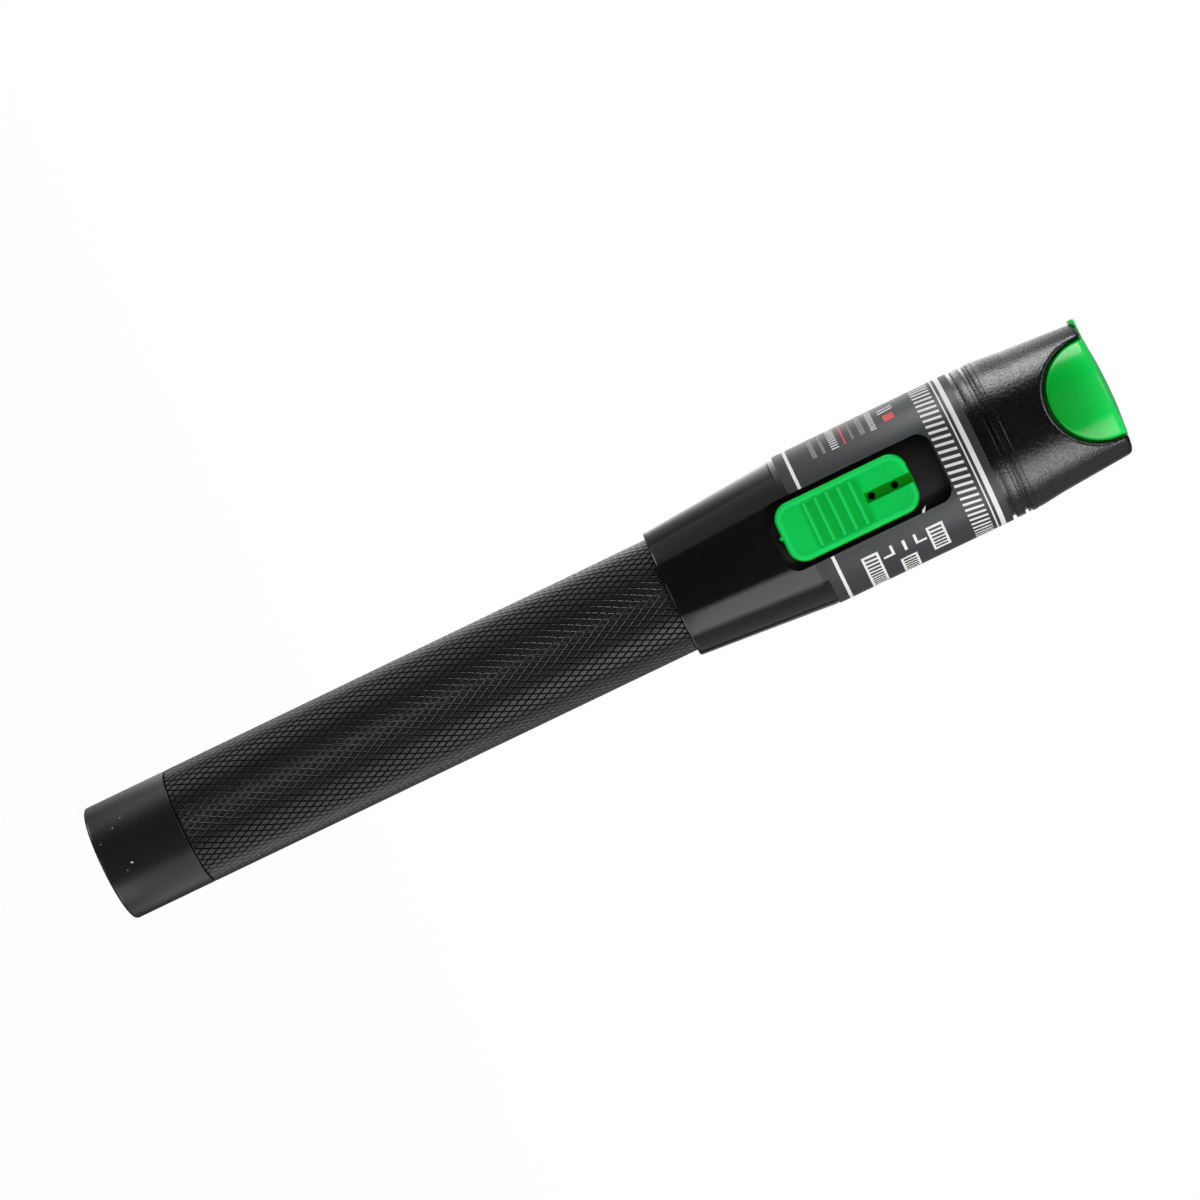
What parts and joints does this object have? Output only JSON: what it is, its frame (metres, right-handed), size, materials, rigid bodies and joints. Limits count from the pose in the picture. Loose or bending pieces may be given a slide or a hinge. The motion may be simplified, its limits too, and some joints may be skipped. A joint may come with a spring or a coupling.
{
  "type": "visual fault locator",
  "caption": "Pen type visual fault locator: knurled battery barrel with screw tail cap, tapered head with a slide switch, and a notched front shell with a pull-off dust cap over the light port.",
  "frame": {"origin": "centre of the flat tail face that the pen stands on", "axes": "+Z along the pen from the tail to the light port, the slide switch faces -Y, the switch position marks are on the +X side"},
  "size_m": [0.0258, 0.0258, 0.1778],
  "materials": {
    "satin_black": "satin black anodised",
    "knurled_black": "black anodised with a diamond knurl",
    "gloss_black": "gloss black",
    "label_grey": "printed satin film",
    "recess_black": "matt black",
    "switch_green": "moulded satin green",
    "textured_black": "fine spark-eroded texture",
    "cap_green": "soft satin green",
    "seal_black": "matt",
    "nickel": "nickel plated",
    "spring_steel": "drawn wire",
    "cell_sleeve": "plain silver sleeve",
    "frame_black": "moulded",
    "board_green": "solder resist",
    "chip_black": "moulded",
    "trimmer_blue": "moulded",
    "can_silver": "drawn can",
    "brass": "turned",
    "lens_glass": "polished",
    "zirconia": "ground white ceramic"
  },
  "bodies": {
    "tail_end": {"tail_cap": "satin_black", "tail_o_ring": "seal_black", "tail_contact": "nickel"},
    "tail_spring_body": {"tail_spring": "spring_steel"},
    "pen_body": {"barrel": "knurled_black", "barrel_o_ring": "seal_black", "cell_rear": "cell_sleeve", "cell_front": "cell_sleeve", "head_body": "gloss_black", "label_wrap": "label_grey", "slot_liner": "recess_black", "switch_housing": "can_silver", "circuit_board": "board_green", "driver_chip": "chip_black", "trim_pot": "trimmer_blue", "capacitor": "can_silver", "front_contact": "nickel", "inner_frame": "frame_black", "laser_holder": "brass", "laser_diode": "can_silver", "port_stem": "nickel", "ceramic_sleeve": "zirconia", "sleeve_retainer": "nickel", "focus_lens": "lens_glass", "lens_retainer": "brass", "nose_collar": "textured_black", "front_o_ring": "seal_black", "front_shell": "textured_black"},
    "switch_slider": {"slide_button": "switch_green", "switch_actuator": "chip_black"},
    "dust_cover": {"dust_cap": "cap_green"}
  },
  "joints": [
    {"name": "barrel_unscrew", "type": "hinge", "parent": "tail_end", "child": "tail_spring_body", "pos_m": [0, 0, 0.0143], "axis": [0, 0, 1], "range_deg": [0, 2880]},
    {"name": "barrel_lift", "type": "slide", "parent": "tail_spring_body", "child": "pen_body", "axis": [0, 0, 1], "range_m": [0, 0.008]},
    {"name": "switch_slide", "type": "slide", "parent": "pen_body", "child": "switch_slider", "axis": [0, 0, 1], "range_m": [0, 0.00385]},
    {"name": "dust_cap_pull", "type": "slide", "parent": "pen_body", "child": "dust_cover", "axis": [0, 0, 1], "range_m": [0, 0.06]}
  ],
  "couplings": [
    {"joint": "barrel_unscrew", "follows": "barrel_lift", "rad_per_m": 6283.2}
  ]
}
